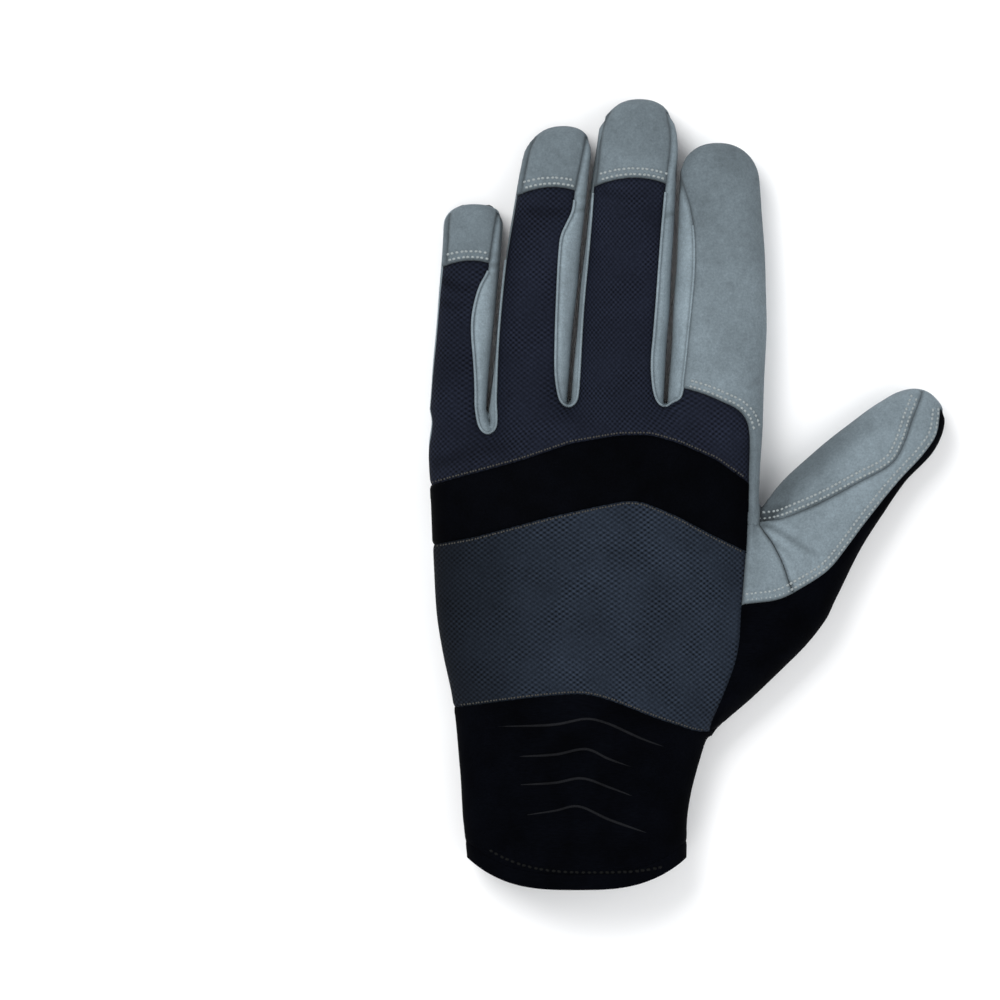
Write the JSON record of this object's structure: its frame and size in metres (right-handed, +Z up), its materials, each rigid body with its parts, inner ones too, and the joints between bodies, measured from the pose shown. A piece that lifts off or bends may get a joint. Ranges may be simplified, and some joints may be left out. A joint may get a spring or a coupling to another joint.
{
  "type": "mechanic glove",
  "caption": "Left-hand mechanic glove lying palm down: hollow cloth and leather panels, open cuff, padded knuckle band, palm patches and a wrist strap.",
  "frame": {"origin": "under the middle of the glove's bounding box, on the surface that it lies on", "axes": "+Y from the cuff to the fingertips, +X towards the thumb, +Z up through the back of the hand"},
  "size_m": [0.1632, 0.2498, 0.0329],
  "materials": {
    "leather": "matt grey synthetic suede",
    "navy": "matt dark navy knitted mesh",
    "slate": "matt slate dotted mesh",
    "black": "matt black stretch fabric and synthetic suede",
    "silver": "satin silver print"
  },
  "bodies": {
    "root": {"cuff_binding": "black", "cuff": "black", "fourchette_pinky_ring": "leather", "fourchette_ring_middle": "leather", "fourchette_middle_index": "leather", "index_back": "leather", "side_gusset": "black", "web_panel": "leather", "thumb_back": "leather", "thumb_inner": "leather", "tip_cap_pinky": "leather", "tip_cap_ring": "leather", "tip_cap_middle": "leather", "knuckle_band": "black", "back_lower": "slate", "back_upper": "navy", "palm": "leather", "patch_tip_pinky": "black", "patch_tip_ring": "black", "patch_tip_middle": "black", "patch_band_ring": "black", "patch_band_middle": "black", "patch_knuckle": "black", "patch_heel": "black", "strap": "black", "stripe_top": "silver", "stripe_inner": "silver", "stripe_outer": "silver"}
  },
  "joints": []
}
